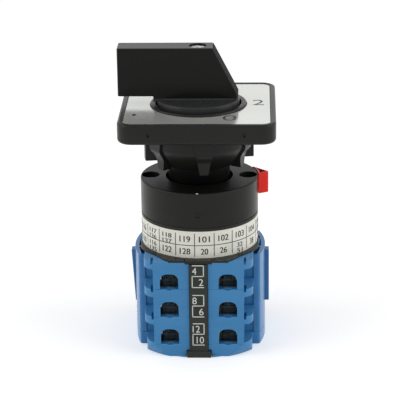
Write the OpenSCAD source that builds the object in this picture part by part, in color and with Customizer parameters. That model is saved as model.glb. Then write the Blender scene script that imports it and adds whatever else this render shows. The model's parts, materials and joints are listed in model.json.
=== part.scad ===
// Rotary cam changeover switch: a front plate with a lever handle, a 22 mm neck with its
// ring nut, a plug-on latch housing and three stacked contact stages on one square shaft.
// Millimetres. The origin is the middle of the end plate's rear face, +Z runs to the handle.

/* [Front plate] */
// Side of the square front plate
plate_w = 48; // [46:0.5:56]
// Thickness of the front plate
plate_t = 6.4; // [5.8:0.1:8]
// Radius of the front plate's corners
plate_corner_r = 4.5; // [3:0.5:7]
// Rounding of the front plate's front edge
plate_edge_r = 0.7; // [0.4:0.1:1]
// Rounding of the front plate's rear edge
plate_back_r = 1.2; // [0.6:0.1:1.8]
// Width of the rim round the legend plate
rim_w = 1.6; // [1.2:0.1:2.4]
// Thickness of the legend plate
legend_t = 0.8; // [0.5:0.1:1.2]
// Depth of the legend plate's face below the rim
legend_drop = 0.2; // [0.1:0.1:0.5]
// Gap between the legend plate and the rim
legend_gap = 0.15; // [0.05:0.05:0.3]
// Outer radius of the collar round the handle's disc
collar_r = 14.95; // [14.5:0.05:16]
// Height of the collar over the rim
collar_rise = 0.4; // [0.2:0.1:0.8]
// Width of the rear rim that seats on the panel
seat_w = 3.5; // [3:0.1:5]
// Distance of the two small slots in the front plate's side from its middle
side_slot_x = 14.4; // [10:0.2:18]

/* [Handle] */
// Radius of the handle's disc
disc_r = 12.9; // [12:0.1:13.2]
// Height of the disc's face over the front plate
disc_rise = 2.1; // [1.2:0.1:3]
// Rounding of the disc's upper edge
disc_edge_r = 0.6; // [0.3:0.1:1]
// Height of the lever's top over the front plate
lever_rise = 18.4; // [15:0.2:24]
// Thickness of the lever
lever_t = 8.5; // [7.5:0.1:10]
// Reach of the lever's pointer end from the axis
lever_reach = 24.8; // [20:0.2:30]
// Length of the lever's top edge behind the axis
lever_top_back = 4.65; // [4:0.05:8]
// Length of the lever's foot behind the axis
lever_foot_back = 12.4; // [11:0.1:12.8]
// Height of the lever's overhang over the front plate
overhang_rise = 3.3; // [2.6:0.1:4.5]
// Distance of the overhang's step from the axis
step_x = 13.8; // [12:0.1:15]
// Rounding of the lever's long edges
lever_edge_r = 0.8; // [0.3:0.1:1.4]
// Radius of the handle's hub in the neck
hub_r = 7; // [6:0.1:7.6]
// Length of the handle's hub below the disc
hub_len = 11.5; // [8:0.5:12]
// Radius of the counterbore for the handle's screw
screw_bore_r = 2.65; // [2.6:0.05:3.2]
// Depth of the handle screw's head below the lever's top
screw_sunk = 0.5; // [0.4:0.1:3]
// Material left in the handle under that counterbore
handle_floor = 4; // [3:0.5:6]
// Length of the handle screw's thread in the shaft
handle_screw_bite = 4; // [3:0.5:4.5]

/* [Neck and ring nut] */
// Radius of the threaded neck, for a 22 mm panel hole
neck_r = 11; // [10.5:0.05:11.2]
// Radius of the plain lower neck
plug_r = 9.7; // [9.2:0.05:9.9]
// Free length of the neck between the front plate and the latch housing
neck_show = 17.1; // [15:0.1:24]
// Length of the neck's thread below the front plate
thread_len = 11.1; // [10:0.1:12]
// Height of the ring nut's bowl
nut_bowl_h = 4.9; // [4:0.1:6]
// Radius of the ring nut's rim
nut_rim_r = 16.2; // [15:0.1:17]
// Radius of the bowl's lower end
bowl_low_r = 12.6; // [12.2:0.1:13.2]
// Radius over the ring nut's ribs
rib_r = 14.3; // [13.4:0.1:15]
// Length of the ring nut's ribs from its rim
rib_len = 11.65; // [9:0.1:12]
// Width of a rib at its top
rib_w_top = 6.8; // [4:0.1:7.2]
// Width of a rib at its lower end
rib_w_end = 2.6; // [1.5:0.1:3.5]
// Reach of the two square wings from the axis
wing_r = 17.2; // [16.5:0.1:18.5]
// Width of a wing
wing_w = 5; // [3:0.5:6]
// How much shorter than the ribs the wings are
wing_short = 1.4; // [0:0.1:3]
// Angle by which the ring nut stands turned
nut_turn = 7.8; // [0:0.1:30]
// Thickness of the thrust washer
washer_t = 0.55; // [0.4:0.05:0.8]
// Thickness of the panel gasket
gasket_t = 0.55; // [0.4:0.05:0.8]

/* [Latch and detent housings] */
// Radius of the housings
body_r = 18.53; // [18.2:0.01:19.2]
// Height of the latch cover
cover_h = 11.2; // [10.5:0.1:14]
// Wall of the latch cover
cover_wall = 1.3; // [1:0.1:1.6]
// Roof of the latch cover
cover_roof = 2.2; // [1.6:0.1:2.6]
// Height of the label's band
label_h = 8.8; // [7.5:0.1:12]
// Thickness of the label
label_t = 0.13; // [0.1:0.01:0.2]
// Height of the lip over the label
lip_h = 1.2; // [0.8:0.1:2]
// Radius of the detent housing's base flange
base_r = 19.9; // [19.4:0.1:20.2]
// Thickness of the base flange
base_t = 1.1; // [0.9:0.1:1.6]
// Depth by which the base flange is let into the first stage
base_inset = 0.75; // [0.3:0.05:0.9]
// Distance of the two through bolts from the housings' edge
bolt_inset = 3.18; // [3.15:0.01:3.4]
// Radius of the bolt's holes in the latch cover's face
bolt_well_r = 2.8; // [2.7:0.05:2.9]
// Depth of the bolt's holes in the latch cover's face
bolt_well_depth = 8; // [5:0.5:8.5]
// Angle that the lock lever swings through
lock_swing = 25; // [15:1:25]
// Height of the lock lever's paddle
paddle_h = 6.8; // [5:0.1:7]
// Reach of the lock lever's paddle from the axis
paddle_reach = 21.9; // [20.5:0.1:24]
// Length of the paddle along its swing
paddle_len = 8; // [6:0.5:10]
// Radius over the detent star's tips
star_r = 8.6; // [7.8:0.1:9]
// Depth of the detent star's valleys
star_depth = 1.3; // [0.8:0.1:1.8]
// Radius of a detent roller
roller_r = 1.6; // [1.2:0.1:1.8]
// Radius of a detent spring
detent_spring_r = 1.1; // [0.8:0.05:1.3]
// Radius of a detent spring's wire
detent_wire_r = 0.2; // [0.15:0.01:0.25]

/* [Contact stages] */
// Height of one contact stage
stage_h = 9.25; // [9:0.05:11]
// Thickness of the end plate
end_t = 4.2; // [3.8:0.1:6]
// Radius over the end plate's corners on its rear face
end_reach = 22.5; // [21.5:0.1:24]
// Step from the base flange out to the terminal faces
face_step = 0.7; // [0.6:0.05:1.2]
// Half width of a stage's terminal block
block_x = 14.1; // [14:0.1:14.6]
// Thickness of a stage's flange
flange_t = 2.6; // [2:0.1:3.2]
// Radius of the flange's corners
flange_corner_r = 3.7; // [2:0.1:5]
// Half width of a stage's ears, which the side covers match
ear_y = 10.4; // [9:0.1:11]
// Distance of a wire entry from the middle
entry_x = 9.1; // [9.1:0.05:9.3]
// Width of a wire entry
entry_w = 5.75; // [5.5:0.05:6]
// Height of a wire entry
entry_h = 5; // [4.8:0.05:5.2]
// Rounding of a wire entry's arch
entry_arch_r = 2.2; // [1.5:0.1:2.6]
// Height of the hollow under a stage's roof
hollow_h = 5.65; // [5.6:0.05:6.2]

/* [Cams and contacts] */
// Side of the square shaft
shaft_w = 5; // [4.5:0.1:5.2]
// Radius of the cam under a resting plunger
cam_r = 6; // [5.9:0.05:6.2]
// Travel of a plunger each way
travel = 1.2; // [0.8:0.05:1.2]
// Handle angle between two switch positions
switch_angle = 60; // [60:1:60]
// Width of a plunger
plunger_w = 4.3; // [3.6:0.1:4.4]
// Height of a plunger and of its cam
plunger_h = 4.4; // [4:0.1:4.8]
// Radius of a plunger's nose
nose_r = 1.5; // [1:0.1:1.8]
// Thickness of a contact bridge
bridge_t = 0.8; // [0.6:0.05:0.9]
// Height of the bridges and contact strips
contact_h = 3.2; // [2.6:0.1:3.2]
// Thickness of a contact strip
strip_t = 0.6; // [0.5:0.05:0.6]
// Height of a silver contact tip
tip_t = 0.3; // [0.2:0.05:0.35]
// Radius of a contact spring's wire
wire_r = 0.22; // [0.18:0.01:0.28]
// Depth of the terminal screws behind the terminal faces
screw_inset = 4.2; // [4:0.1:4.4]
// Radius of a terminal screw's head
head_r = 2.3; // [1.9:0.05:2.35]
// Height of a terminal screw's head
head_t = 1.2; // [0.8:0.05:1.3]
// Outer side of the terminal clamps, from the middle
clamp_x1 = 12.6; // [12.4:0.05:12.8]

/* [Strips and side covers] */
// Width of a marker strip
marker_w = 5.6; // [4.5:0.1:6]
// Reach of a marker strip over the terminal face
marker_rise = 0.65; // [0.3:0.05:1]
// Width of a marker strip's foot
foot_w = 7.6; // [6.5:0.1:8]
// Height of a marker strip's foot
foot_h = 2.1; // [1.5:0.1:2.5]
// Step from the housings out to the side covers
side_step = 2.27; // [2.2:0.01:3]
// Depth of the side covers, out from the flanges' sides
side_depth = 3.8; // [3.4:0.05:3.8]
// Wall of the side covers
side_wall = 1.35; // [1.2:0.05:1.6]
// Depth of the side covers' top below the stages' top
side_drop = 1.4; // [1:0.1:2]
// Depth of the side plates' top below the side covers' top
side_plate_drop = 1.85; // [0.5:0.05:4]
// Length of a side plate
side_plate_len = 17.5; // [12:0.1:22]
// Half width of a side plate
side_plate_y = 6; // [4:0.5:6]
// Thickness of a side plate
side_plate_t = 1.15; // [0.8:0.05:1.4]
// How much the left side plate's lower end leans in
side_plate_lean = 1; // [0:0.05:1.1]

/* [Hidden] */
$fn = 96;
STAGES = 3;

// Clearances: running fits, seated pieces and cuts that pass a face
run_gap = 0.06;
seat_gap = 0.05;
cut = 0.5;

// Places across the axis that pieces share
bolt_x = body_r - bolt_inset;
face_y = base_r + face_step;
screw_y = face_y - screw_inset;
side_r = body_r + side_step;
flange_x = side_r - side_depth;

// Levels along the axis, from the end plate's rear face up
z_stack = end_t + STAGES * stage_h;
z_base = z_stack - base_inset;
z_label = z_base + base_t;
z_lip = z_label + label_h;
z_seam = z_lip + lip_h;
z_cover = z_seam + cover_h;
z_plate = z_cover + neck_show;
z_front = z_plate + plate_t;
z_top = z_front + lever_rise;
z_legend = z_front - legend_drop - legend_t;

// Front plate, mounting base, gasket and washer
corner_legend_r = plate_corner_r - rim_w;
disc_gap = 0.5;
seat_recess_h = 2;
mount_flange_w = plate_w - 2 * seat_w - 0.4;
z_mount_top = z_plate + seat_recess_h;
z_gasket = z_plate - 0.15;
z_mount_flange = z_gasket + gasket_t;
z_washer = z_gasket - 0.1 - washer_t;
z_nut_top = z_washer - seat_gap;
washer_r = nut_rim_r - 0.4;

// Handle, shaft and their screw
z_disc = z_mount_top + 0.15;
z_disc_top = z_front + disc_rise;
z_hub = z_disc - hub_len;
screw_head_h = 1.8;
washer_small_t = 0.5;
z_screw_top = z_top - screw_sunk;
z_screw_seat = z_screw_top - screw_head_h;
z_counterbore = z_screw_seat - washer_small_t;
z_shaft_top = z_counterbore - handle_floor;
thread_r = 1.5;
screw_r = thread_r - 0.03;
journal_r = 2.4;
journal_z = 1.2;
square_gap = 0.03;
cross_size = 3;

// Latch: the lock ring turns on the detent housing's socket collar, inside the cover
socket_gap = 0.1;
socket_r = plug_r + socket_gap;
socket_wall = 1.6;
lock_ring_r = socket_r + socket_wall - 0.1;
socket_h = 4.8;
lock_t = 2;
z_lock = z_seam + socket_h + seat_gap;
groove_r = plug_r - 0.75;
lock_tooth_r = groove_r + 0.1;
release_slot_w = 4.4;
dimple_rise = 4;
cover_hole_r = plug_r + 0.9;
boss_r = bolt_well_r + 0.5;
arm_from = 19;
arm_to = 26;
z_paddle = z_cover - paddle_h;
paddle_wall = 1.4;
paddle_start = 3.2;

// Through bolts: M3 with sunk heads, and nuts in the end plate
bolt_r = 1.5;
bolt_hole_r = bolt_r + 0.2;
bolt_head_r = bolt_well_r - 0.2;
bolt_head_h = 2;
z_bolt_seat = z_cover - bolt_well_depth;
nut_flats = 5.5;
nut_t = 2.4;
nut_z = 0.3;
bolt_boss_r = nut_flats / 2 + 0.9;
cover_rib_y = bolt_boss_r + 0.7;

// Distances s from the axis in a stage, from the terminal face in: only the plunger's stem
// between the cam and the contact chamber takes up a change of the face's place
clamp_len = 3.75;
plunger_tail = 1.2;
clamp_s1 = face_y - 2.3;
clamp_s0 = clamp_s1 - clamp_len;
pocket_s1 = clamp_s1 + 0.15;
spring_wall_s = face_y - 1.7;
chamber_end_s = clamp_s0 - 0.1;
plunger_end_s = chamber_end_s - 0.15;
bridge_s = plunger_end_s - plunger_tail - bridge_t;
bridge_tip_s = bridge_s - tip_t;
tip_s = bridge_tip_s - travel - 0.05;
strip_s = tip_s - strip_t - tip_t;
chamber_s = strip_s - seat_gap;

// One stage, seen from its front terminal face
cam_top_r = cam_r + travel;
cam_room_r = cam_top_r + 0.4;
cam_hub_r = 4.6;
cam_lift = 0.55;
roof_bore_r = cam_hub_r + 0.25;
channel_gap = 0.05;
nose_s = cam_r + 0.1;
bridge_x = 6.2;
tip_x = 5;
tip_r = 0.9;
contact_z = 1.05;
plunger_z = 0.5;
axis_z = contact_z + contact_h / 2;
strip_x = 6.6;
clamp_t = 0.55;
clamp_x0 = strip_x - 0.1 - clamp_t;
clamp_z = 0.1;
clamp_h = hollow_h - 0.2;
pocket_x1 = clamp_x1 + 0.1;
entry_floor_r = 2.2;
entry_floor_depth = 0.4;
screw_tip_x = clamp_x1 - clamp_t - 0.45;
groove_d = 0.6;
strip_gap = 0.1;
spring_r = 1.55;
spring_turns = 5;
spigot_r = 1.05;
roller_s = star_r + 0.1 + roller_r;
roller_h = 6.2;
star_z = z_stack + cam_lift;
star_h = 6.2;
detent_room_h = star_z + star_h + 1.1 - z_base;
roller_channel_s = body_r - 1.7;
base_tab_w = 8.2;
hook_slot_w = 0.7;
hook_slot_len = 4.5;
end_x = flange_x - 0.3;
end_flare = 2.4;
lip_reach = 1.2;
lip_t = 0.5;
side_plate_x = side_r + 0.05;
side_slot_floor = side_r - 0.85;
z_side_plate = z_stack - side_drop - side_plate_drop - side_plate_len;
plate_rib_w = 2;

// Flat shapes

// Rectangle with round corners, centred
module round_rect(w, d, r) {
  square([w, d - 2 * r], center = true);
  square([w - 2 * r, d], center = true);
  for (x = [-1, 1], y = [-1, 1]) translate([x * (w / 2 - r), y * (d / 2 - r)]) circle(r);
}

// Quarter section of a plate's edge, u wide and h high, with its two outer corners rounded
module edge_section(u, h, r_low, r_high) {
  difference() {
    square([u, h]);
    translate([u - r_low, -cut]) square([r_low + cut, r_low + cut]);
    translate([u - r_high, h - r_high]) square([r_high + cut, r_high + cut]);
  }
  intersection() {
    translate([u - r_low, r_low]) circle(r_low);
    square([u, h]);
  }
  intersection() {
    translate([u - r_high, h - r_high]) circle(r_high);
    square([u, h]);
  }
}

// Square plate with round corners and rounded front and rear edges
module soft_plate(w, h, r, r_low, r_high) {
  inner = w - 2 * r;
  translate([-inner / 2, -inner / 2, 0]) cube([inner, inner, h]);
  for (x = [-1, 1], y = [-1, 1])
    translate([x * inner / 2, y * inner / 2, 0]) rotate_extrude() edge_section(r, h, r_low, r_high);
  for (a = [0:90:270])
    rotate(a) translate([inner / 2, inner / 2, 0]) rotate([90, 0, 0])
      linear_extrude(inner) edge_section(r, h, r_low, r_high);
}

// Disc with a rounded upper edge
module soft_disc(r, h, edge) {
  rotate_extrude() {
    square([r - edge, h]);
    square([r, h - edge]);
    intersection() {
      translate([r - edge, h - edge]) circle(edge);
      square([r, h]);
    }
  }
}

module tube(r_out, r_in, h) {
  difference() {
    cylinder(r = r_out, h = h);
    translate([0, 0, -cut]) cylinder(r = r_in, h = h + 2 * cut);
  }
}

// Hexagonal prism with two flats facing along X
module hexagon(flats, h) {
  rotate(30) cylinder(r = flats / sqrt(3), h = h, $fn = 6);
}

// Cross recess of a screw, cut down from z = 0
module cross_recess(size) {
  for (a = [0, 90])
    rotate(a) translate([-size / 2, -size / 8, -size * 0.35]) cube([size, size / 4, size * 0.35 + cut]);
}

// Coil spring along +Z from z = 0, closed by its own swept skin
module coil_spring(r, wire, length, turns) {
  around = 6;
  steps = turns * 12;
  rise = length - 2 * wire;
  ring = [for (i = [0:steps]) for (j = [0:around - 1])
    let (t = i / steps, a = t * turns * 360, b = j * 360 / around, out = r + wire * cos(b))
    [out * cos(a), out * sin(a), wire + t * rise + wire * sin(b)]];
  sides = [for (i = [0:steps - 1]) for (j = [0:around - 1])
    let (k = (j + 1) % around)
    [i * around + j, i * around + k, (i + 1) * around + k, (i + 1) * around + j]];
  first = [for (j = [around - 1:-1:0]) j];
  last = [for (j = [0:around - 1]) steps * around + j];
  polyhedron(points = ring, faces = concat([first], [last], [for (f = sides) [f[3], f[2], f[1], f[0]]]));
}

// Puts its children on the front and on the rear side
module both_sides() {
  for (a = [0, 180]) rotate(a) children();
}

// Puts its children at the four terminals
module four_terminals() {
  both_sides() {
    children();
    mirror([1, 0, 0]) children();
  }
}

// Box from a low corner to a high one, with s measured towards the front face
module front_box(x0, x1, s0, s1, z0, z1) {
  translate([x0, -s1, z0]) cube([x1 - x0, s1 - s0, z1 - z0]);
}

function stage_z(i) = end_t + (STAGES - i) * stage_h;

// Handle group

module lever_side() {
  polygon([
    [-lever_reach, z_front + overhang_rise],
    [-lever_reach, z_top],
    [lever_top_back, z_top],
    [lever_foot_back, z_front + overhang_rise],
    [lever_foot_back, z_disc_top - 0.5],
    [-step_x, z_disc_top - 0.5],
    [-step_x, z_front + overhang_rise]]);
}

// The lever's cross section seen along it, with rounded upper edges
module lever_end() {
  low = z_disc_top - 0.5;
  translate([0, (low + z_top) / 2]) {
    round_rect(lever_t, z_top - low, lever_edge_r);
    translate([0, -lever_edge_r]) square([lever_t, z_top - low - 2 * lever_edge_r], center = true);
  }
}

module lever() {
  span = lever_reach + lever_foot_back;
  intersection() {
    rotate([90, 0, 0]) translate([0, 0, -lever_t / 2]) linear_extrude(lever_t) lever_side();
    rotate([90, 0, 90]) translate([0, 0, -lever_reach]) linear_extrude(span) lever_end();
    translate([(lever_foot_back - lever_reach) / 2, 0, 0]) linear_extrude(z_top + cut)
      round_rect(span, lever_t, lever_edge_r);
  }
}

module handle() {
  color([0.13, 0.14, 0.13]) difference() {
    union() {
      translate([0, 0, z_disc]) soft_disc(disc_r, z_disc_top - z_disc, disc_edge_r);
      translate([0, 0, z_hub]) cylinder(r = hub_r, h = hub_len + cut);
      lever();
    }
    square_bore(z_hub - cut, z_shaft_top + 0.2, square_gap);
    cylinder(r = bolt_hole_r, h = z_top);
    translate([0, 0, z_counterbore]) cylinder(r = screw_bore_r, h = z_top);
  }
}

module square_bore(z0, z1, gap) {
  side = shaft_w + 2 * gap;
  translate([-side / 2, -side / 2, z0]) cube([side, side, z1 - z0]);
}

module handle_screw() {
  color([0.75, 0.75, 0.72]) difference() {
    union() {
      translate([0, 0, z_screw_seat]) cylinder(r = screw_bore_r - 0.15, h = screw_head_h);
      translate([0, 0, z_shaft_top - handle_screw_bite])
        cylinder(r = screw_r, h = z_screw_seat - z_shaft_top + handle_screw_bite + 0.1);
    }
    translate([0, 0, z_screw_top]) cross_recess(cross_size);
  }
}

module handle_washer() {
  color([0.7, 0.7, 0.68]) translate([0, 0, z_counterbore])
    tube(screw_bore_r - 0.15, screw_r + 0.05, washer_small_t);
}

module shaft() {
  color([0.72, 0.72, 0.7]) difference() {
    union() {
      translate([0, 0, journal_z]) cylinder(r = journal_r, h = end_t - journal_z + 0.2);
      square_bore(end_t + 0.2, z_shaft_top, 0);
    }
    translate([0, 0, z_shaft_top - handle_screw_bite - 1])
      cylinder(r = thread_r, h = handle_screw_bite + 1 + cut);
  }
}

// Front plate group

module bezel_frame() {
  legend_w = plate_w - 2 * rim_w;
  recess_w = plate_w - 2 * seat_w;
  color([0.15, 0.16, 0.15]) difference() {
    union() {
      difference() {
        translate([0, 0, z_plate])
          soft_plate(plate_w, plate_t, plate_corner_r, plate_back_r, plate_edge_r);
        translate([0, 0, z_legend]) linear_extrude(plate_t)
          round_rect(legend_w, legend_w, corner_legend_r);
      }
      translate([0, 0, z_mount_top]) soft_disc(collar_r, z_front + collar_rise - z_mount_top, 0.4);
    }
    translate([0, 0, z_plate - cut]) linear_extrude(seat_recess_h + cut)
      round_rect(recess_w, recess_w, 2);
    cylinder(r = disc_r + disc_gap, h = z_top);
    for (x = [-1, 1])
      front_box(x * side_slot_x - 0.45, x * side_slot_x + 0.45, plate_w / 2 - 0.8, plate_w / 2 + cut,
        z_plate + plate_t * 0.4, z_plate + plate_t * 0.62);
  }
}

module legend_plate() {
  w = plate_w - 2 * rim_w - 2 * legend_gap;
  color([0.82, 0.82, 0.8]) translate([0, 0, z_legend]) difference() {
    linear_extrude(legend_t) round_rect(w, w, corner_legend_r - legend_gap);
    translate([0, 0, -cut]) cylinder(r = collar_r + legend_gap, h = legend_t + 2 * cut);
  }
}

module mounting_base() {
  thread_z = z_plate - thread_len;
  hub_floor = z_hub - 0.5;
  color([0.13, 0.13, 0.13]) difference() {
    union() {
      translate([0, 0, z_mount_flange]) linear_extrude(z_mount_top - z_mount_flange)
        round_rect(mount_flange_w, mount_flange_w, 1.8);
      translate([0, 0, thread_z]) cylinder(r = neck_r, h = z_mount_flange - thread_z + 0.1);
      translate([0, 0, z_seam]) cylinder(r = plug_r, h = thread_z - z_seam + 0.1);
    }
    translate([0, 0, hub_floor]) cylinder(r = hub_r + run_gap, h = z_front);
    cylinder(r = shaft_w * 0.5 * sqrt(2) + 1.5, h = z_front);
    translate([0, 0, z_lock - seat_gap]) tube(neck_r + cut, groove_r, lock_t + 2 * seat_gap);
    // Release slots for the lock ring's teeth, and the keyway along the thread
    for (a = [60, 240]) rotate(a)
      translate([groove_r, -release_slot_w / 2, z_seam - cut])
        cube([3, release_slot_w, z_lock - z_seam + cut]);
    translate([neck_r - 0.8, -1.2, thread_z - cut]) cube([2, 2.4, z_gasket - thread_z + cut]);
  }
}

module panel_gasket() {
  gasket_r = plate_w / 2 - seat_w - 1.2;
  color([0.08, 0.08, 0.08]) translate([0, 0, z_gasket]) tube(gasket_r, neck_r + 0.3, gasket_t);
}

module thrust_washer() {
  color([0.7, 0.7, 0.68]) translate([0, 0, z_washer]) tube(washer_r, neck_r + 0.1, washer_t);
}

// Ring nut: a bowl that narrows downwards, with tapered ribs and two square wings
module nut_bowl() {
  flare = nut_rim_r - bowl_low_r;
  rotate_extrude() difference() {
    translate([neck_r + 0.1, -nut_bowl_h]) square([nut_rim_r - neck_r - 0.1, nut_bowl_h]);
    translate([nut_rim_r + flare * 0.2, -nut_bowl_h - 0.3]) circle(flare * 1.2);
    translate([nut_rim_r - 0.4, -nut_bowl_h - cut]) square([flare, nut_bowl_h * 0.55 + cut]);
  }
}

module nut_rib(w0, w1, reach, length) {
  intersection() {
    rotate([0, -90, 0]) rotate([0, 0, 180]) translate([0, 0, -reach]) linear_extrude(reach - neck_r - 0.4)
      polygon([[0.5, -w0 / 2], [0.5, w0 / 2], [length, w1 / 2], [length, -w1 / 2]]);
    translate([0, 0, -length - cut]) cylinder(r = reach, h = length + 2 * cut);
  }
}

module ring_nut() {
  color([0.13, 0.13, 0.13]) translate([0, 0, z_nut_top]) rotate(nut_turn) {
    nut_bowl();
    translate([0, 0, -rib_len + 2]) tube(neck_r + 1.2, neck_r + 0.1, rib_len - 2);
    for (a = [30:60:330]) rotate(a) nut_rib(rib_w_top, rib_w_end, rib_r, rib_len);
    for (a = [0, 180]) rotate(a) nut_rib(wing_w, wing_w, wing_r, rib_len - wing_short);
  }
}

// Latch housing group

module bolt_places() {
  for (x = [-1, 1]) translate([x * bolt_x, 0, 0]) children();
}

module latch_cover() {
  room_top = z_cover - cover_roof;
  color([0.15, 0.15, 0.15]) difference() {
    translate([0, 0, z_seam]) soft_disc(body_r, cover_h, 0.5);
    difference() {
      translate([0, 0, z_seam - cut]) cylinder(r = body_r - cover_wall, h = room_top - z_seam + cut);
      bolt_places() translate([0, 0, z_seam - cut]) cylinder(r = boss_r, h = cover_h);
      translate([0, 0, z_lock + lock_t + seat_gap]) cylinder(r = cover_hole_r + 1.6, h = cover_h);
    }
    cylinder(r = cover_hole_r, h = z_front);
    bolt_places() cylinder(r = bolt_hole_r, h = z_front);
    bolt_places() translate([0, 0, z_bolt_seat]) cylinder(r = bolt_well_r, h = z_front);
    lock_window();
    // Moulding dimple on the front
    translate([0, -body_r - 0.6, z_seam + dimple_rise]) rotate([-90, 0, 0]) cylinder(r = 0.9, h = 1);
  }
}

module lock_window() {
  translate([0, 0, z_lock - 0.2]) rotate(arm_from - 2)
    rotate_extrude(angle = arm_to - arm_from + lock_swing + 4)
      translate([body_r - cover_wall - 0.3, 0]) square([cover_wall + 1, lock_t + 0.4]);
}

// The paddle's outline: a wedge that points along the swing
module paddle_plan() {
  inner = body_r + 0.12;
  tip = 0.6;
  difference() {
    hull() {
      translate([paddle_reach - tip - 0.4, 3]) circle(tip, $fn = 32);
      translate([inner - 0.9, 1.3]) circle(tip, $fn = 32);
      translate([inner - 2, paddle_len]) circle(tip, $fn = 32);
    }
    circle(inner);
  }
}

module lock_lever() {
  color([0.82, 0.18, 0.17]) {
    translate([0, 0, z_lock]) {
      tube(lock_ring_r, plug_r + 0.15, lock_t);
      for (a = [0, 180]) rotate(a - 8) rotate_extrude(angle = 16)
        translate([lock_tooth_r, 0]) square([plug_r + 0.5 - lock_tooth_r, lock_t]);
      rotate(arm_from) rotate_extrude(angle = arm_to - arm_from)
        translate([lock_ring_r - 0.3, 0]) square([body_r + 0.6 - lock_ring_r, lock_t]);
    }
    translate([0, 0, z_paddle]) difference() {
      linear_extrude(paddle_h) paddle_plan();
      translate([0, 0, paddle_h - paddle_wall]) linear_extrude(2) polygon([
        [body_r + 0.9, paddle_start], [paddle_reach - 1.6, paddle_start + 0.2],
        [body_r + 0.1, paddle_len - paddle_wall]]);
    }
  }
}

module detent_housing() {
  color([0.12, 0.12, 0.12]) difference() {
    union() {
      translate([0, 0, z_base]) cylinder(r = base_r, h = base_t);
      both_sides() front_box(-base_tab_w / 2, base_tab_w / 2, base_r - 2, face_y + 0.3, z_base, z_label);
      translate([0, 0, z_label - 0.1]) cylinder(r = body_r - label_t - 0.03, h = label_h + 0.2);
      translate([0, 0, z_lip]) cylinder(r = body_r, h = lip_h - 0.25);
      translate([0, 0, z_seam - 0.4]) cylinder(r = body_r - 0.3, h = 0.4);
      translate([0, 0, z_seam - 0.1]) cylinder(r = lock_ring_r + 0.1, h = socket_h + 0.1);
    }
    translate([0, 0, z_base - cut]) cylinder(r = star_r + 0.4, h = detent_room_h + cut);
    both_sides() front_box(-roller_r - 0.1, roller_r + 0.1, 0, roller_channel_s, z_base - cut,
      z_base + detent_room_h);
    translate([0, 0, z_seam]) cylinder(r = socket_r, h = cover_h);
    cylinder(r = shaft_w * 0.5 * sqrt(2) + 1.5, h = z_front);
    bolt_places() cylinder(r = bolt_hole_r, h = z_front);
  }
}

module rating_label() {
  color([0.88, 0.88, 0.84]) translate([0, 0, z_label + 0.02])
    tube(body_r - 0.02, body_r - label_t, label_h - 0.04);
}

// Star wheel with six valleys, from a formula round its edge
module detent_star() {
  points = [for (a = [0:3:357])
    let (r = star_r - star_depth * (1 - cos(6 * (a + 30))) / 2) [r * cos(a), r * sin(a)]];
  color([0.85, 0.84, 0.78]) difference() {
    translate([0, 0, star_z]) linear_extrude(star_h) polygon(points);
    square_bore(0, z_front, square_gap);
  }
}

module detent_rollers() {
  color([0.7, 0.7, 0.68]) both_sides()
    translate([0, -roller_s, star_z]) cylinder(r = roller_r, h = roller_h);
}

module detent_springs() {
  from = roller_s + roller_r + 0.05;
  color([0.75, 0.75, 0.75]) both_sides()
    translate([0, -from, star_z + star_h / 2]) rotate([90, 0, 0])
      coil_spring(detent_spring_r, detent_wire_r, roller_channel_s - from - 0.05, 5);
}

// Contact stages

// The cam's radius at an angle from +X. It falls or climbs evenly where a plunger rides
function cam_edge(a) =
  let (b = a > 180 ? a - 360 : a, slope = travel / switch_angle)
  abs(b) <= 90 - switch_angle ? cam_r + travel :
  abs(b) >= 90 + switch_angle ? cam_r - travel :
  cam_r - slope * (abs(b) - 90);

module cam(i) {
  points = [for (a = [0:2.5:357.5]) let (r = cam_edge(a)) [r * cos(a), r * sin(a)]];
  color([0.9, 0.9, 0.86]) translate([0, 0, stage_z(i) + cam_lift]) difference() {
    union() {
      linear_extrude(plunger_h) polygon(points);
      cylinder(r = cam_hub_r, h = stage_h - 0.02);
    }
    translate([0, 0, -stage_z(i)]) square_bore(0, z_front, square_gap);
  }
}

module plunger(i) {
  color([0.88, 0.87, 0.8]) translate([0, 0, stage_z(i)]) difference() {
    union() {
      translate([0, -nose_s - nose_r, plunger_z]) cylinder(r = nose_r, h = plunger_h);
      front_box(-plunger_w / 2, plunger_w / 2, nose_s + nose_r, plunger_end_s,
        plunger_z, plunger_z + plunger_h);
      translate([0, -plunger_end_s + 0.1, axis_z]) rotate([90, 0, 0]) cylinder(r = spigot_r, h = 1.4);
    }
    front_box(-plunger_w, plunger_w, bridge_s - seat_gap, bridge_s + bridge_t + seat_gap,
      contact_z - seat_gap, contact_z + contact_h + seat_gap);
  }
}

module contact_tip(s) {
  translate([tip_x, -s, axis_z]) rotate([90, 0, 0]) cylinder(r = tip_r, h = tip_t + 0.1);
}

module bridge(i) {
  color([0.78, 0.5, 0.3]) translate([0, 0, stage_z(i)]) {
    front_box(-bridge_x, bridge_x, bridge_s, bridge_s + bridge_t, contact_z, contact_z + contact_h);
    contact_tip(bridge_tip_s);
    mirror([1, 0, 0]) contact_tip(bridge_tip_s);
  }
}

module contact_spring(i) {
  color([0.75, 0.75, 0.75]) translate([0, -plunger_end_s - 0.05, stage_z(i) + axis_z])
    rotate([90, 0, 0])
      coil_spring(spring_r, wire_r, spring_wall_s - plunger_end_s - 0.1, spring_turns);
}

module fixed_contacts(i) {
  color([0.8, 0.62, 0.3]) translate([0, 0, stage_z(i)]) four_terminals() {
    front_box(tip_x - 1.3, strip_x + strip_t, strip_s, strip_s + strip_t, contact_z, contact_z + contact_h);
    front_box(strip_x, strip_x + strip_t, strip_s, clamp_s1 - 0.05, contact_z, contact_z + contact_h);
    contact_tip(strip_s + strip_t - 0.1);
  }
}

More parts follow.
